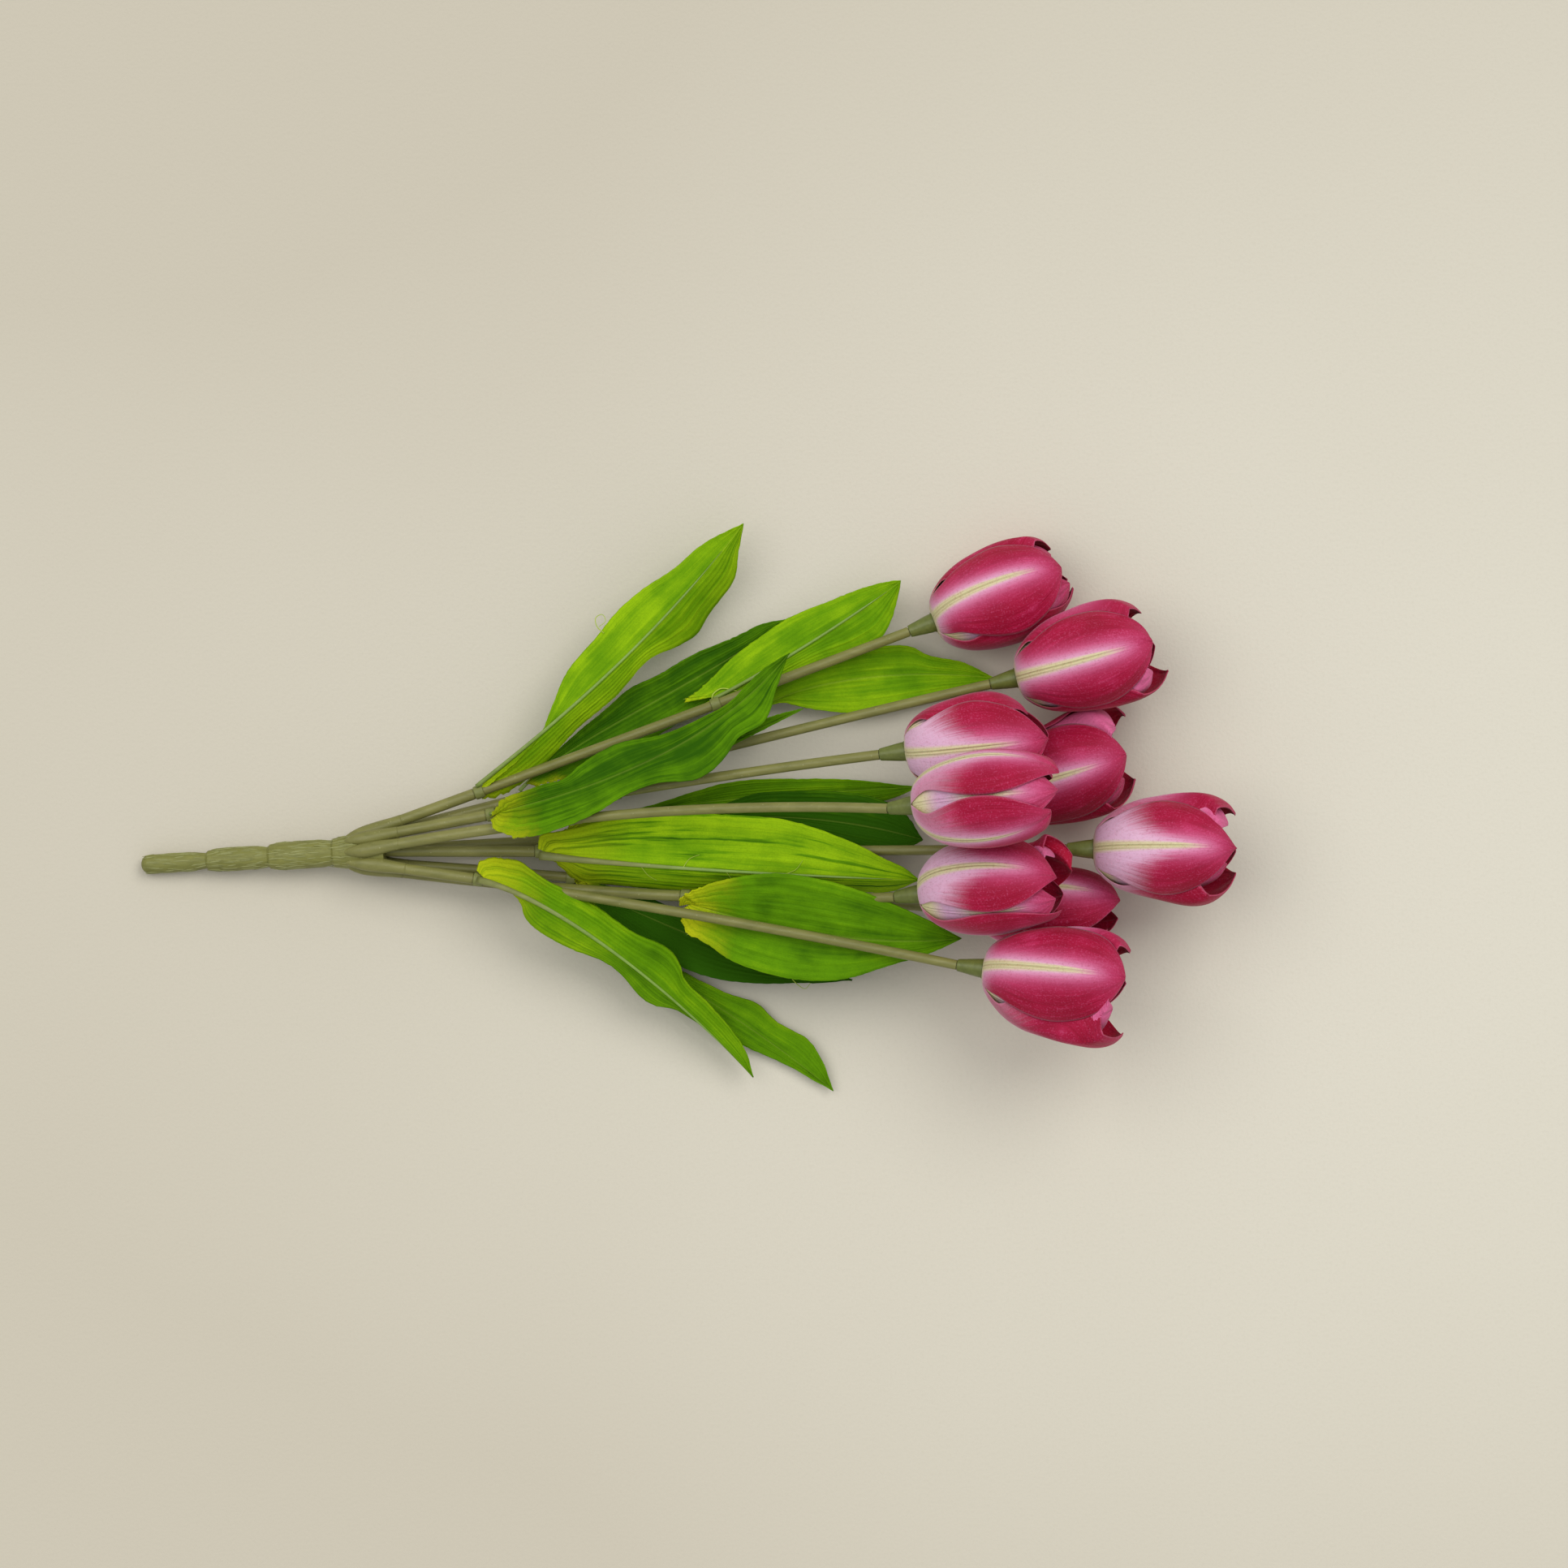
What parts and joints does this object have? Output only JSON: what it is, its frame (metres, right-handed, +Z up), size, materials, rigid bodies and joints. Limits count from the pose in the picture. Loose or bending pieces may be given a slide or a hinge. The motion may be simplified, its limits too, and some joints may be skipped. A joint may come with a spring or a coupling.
{
  "type": "artificial tulip bush",
  "caption": "Artificial tulip bush lying flat: a ringed moulded trunk fans into wire-cored stems with fabric leaves and push-fit tulip flowers.",
  "frame": {"origin": "on the table under the middle of the bush's bounding box, as it lies", "axes": "+X along the bush from the trunk tip to the flowers, +Z up from the table, +Y to the left of +X"},
  "size_m": [0.4523, 0.2342, 0.1108],
  "materials": {
    "trunk": "satin moulded olive polyethylene",
    "stem": "satin moulded olive polyethylene",
    "wire": "drawn steel wire",
    "sleeve": "moulded dark green polyethylene",
    "petal": "printed fine woven fabric",
    "petal_inner": "printed fine woven fabric",
    "leaf": "printed fine woven fabric",
    "rib": "moulded green polyethylene"
  },
  "bodies": {
    "bush": {"trunk": "trunk", "stem_1": "stem", "stem_2": "stem", "stem_3": "stem", "stem_4": "stem", "stem_5": "stem", "stem_6": "stem", "stem_7": "stem", "stem_8": "stem", "stem_9": "stem", "core_wires": "wire", "leaf_a": "leaf", "leaf_b": "leaf", "leaf_c": "leaf", "leaf_d": "leaf", "leaf_e": "leaf", "leaf_f": "leaf", "leaf_g": "leaf", "leaf_i": "leaf", "leaf_j": "leaf", "leaf_k": "leaf", "leaf_l": "leaf", "leaf_m": "leaf", "leaf_n": "leaf", "leaf_spines": "rib"},
    "head_1": {"head_1_sleeve": "sleeve", "head_1_outer_petals": "petal", "head_1_inner_petals": "petal_inner"},
    "head_2": {"head_2_sleeve": "sleeve", "head_2_outer_petals": "petal", "head_2_inner_petals": "petal_inner"},
    "head_3": {"head_3_sleeve": "sleeve", "head_3_outer_petals": "petal", "head_3_inner_petals": "petal_inner"},
    "head_4": {"head_4_sleeve": "sleeve", "head_4_outer_petals": "petal", "head_4_inner_petals": "petal_inner"},
    "head_5": {"head_5_sleeve": "sleeve", "head_5_outer_petals": "petal", "head_5_inner_petals": "petal_inner"},
    "head_6": {"head_6_sleeve": "sleeve", "head_6_outer_petals": "petal", "head_6_inner_petals": "petal_inner"},
    "head_7": {"head_7_sleeve": "sleeve", "head_7_outer_petals": "petal", "head_7_inner_petals": "petal_inner"},
    "head_8": {"head_8_sleeve": "sleeve", "head_8_outer_petals": "petal", "head_8_inner_petals": "petal_inner"},
    "head_9": {"head_9_sleeve": "sleeve", "head_9_outer_petals": "petal", "head_9_inner_petals": "petal_inner"}
  },
  "joints": [
    {"name": "head_1_turn", "type": "hinge", "parent": "bush", "child": "head_1", "pos_m": [0.09053, 0.07243, 0.022], "axis": [0.936, 0.3504, -0.0349], "continuous": true},
    {"name": "head_2_turn", "type": "hinge", "parent": "bush", "child": "head_2", "pos_m": [0.12387, 0.05077, 0.0324], "axis": [0.9713, 0.2274, 0.0698], "continuous": true},
    {"name": "head_3_turn", "type": "hinge", "parent": "bush", "child": "head_3", "pos_m": [0.0782, 0.02177, 0.046], "axis": [0.982, 0.1281, 0.1392], "continuous": true},
    {"name": "head_4_turn", "type": "hinge", "parent": "bush", "child": "head_4", "pos_m": [0.1112, 0.0041, 0.0148], "axis": [0.9637, 0.2224, 0.1478], "continuous": true},
    {"name": "head_5_turn", "type": "hinge", "parent": "bush", "child": "head_5", "pos_m": [0.08153, -0.00023, 0.077], "axis": [0.953, 0.1259, 0.2756], "continuous": true},
    {"name": "head_6_turn", "type": "hinge", "parent": "bush", "child": "head_6", "pos_m": [0.08453, -0.03657, 0.046], "axis": [0.9531, 0.1253, 0.2756], "continuous": true},
    {"name": "head_7_turn", "type": "hinge", "parent": "bush", "child": "head_7", "pos_m": [0.15487, -0.0169, 0.043], "axis": [0.9986, 0.0048, 0.0523], "continuous": true},
    {"name": "head_8_turn", "type": "hinge", "parent": "bush", "child": "head_8", "pos_m": [0.1072, -0.04157, 0.01732], "axis": [0.9961, 0.0142, 0.0872], "continuous": true},
    {"name": "head_9_turn", "type": "hinge", "parent": "bush", "child": "head_9", "pos_m": [0.10987, -0.06423, 0.0524], "axis": [0.9818, -0.1291, 0.1392], "continuous": true}
  ]
}
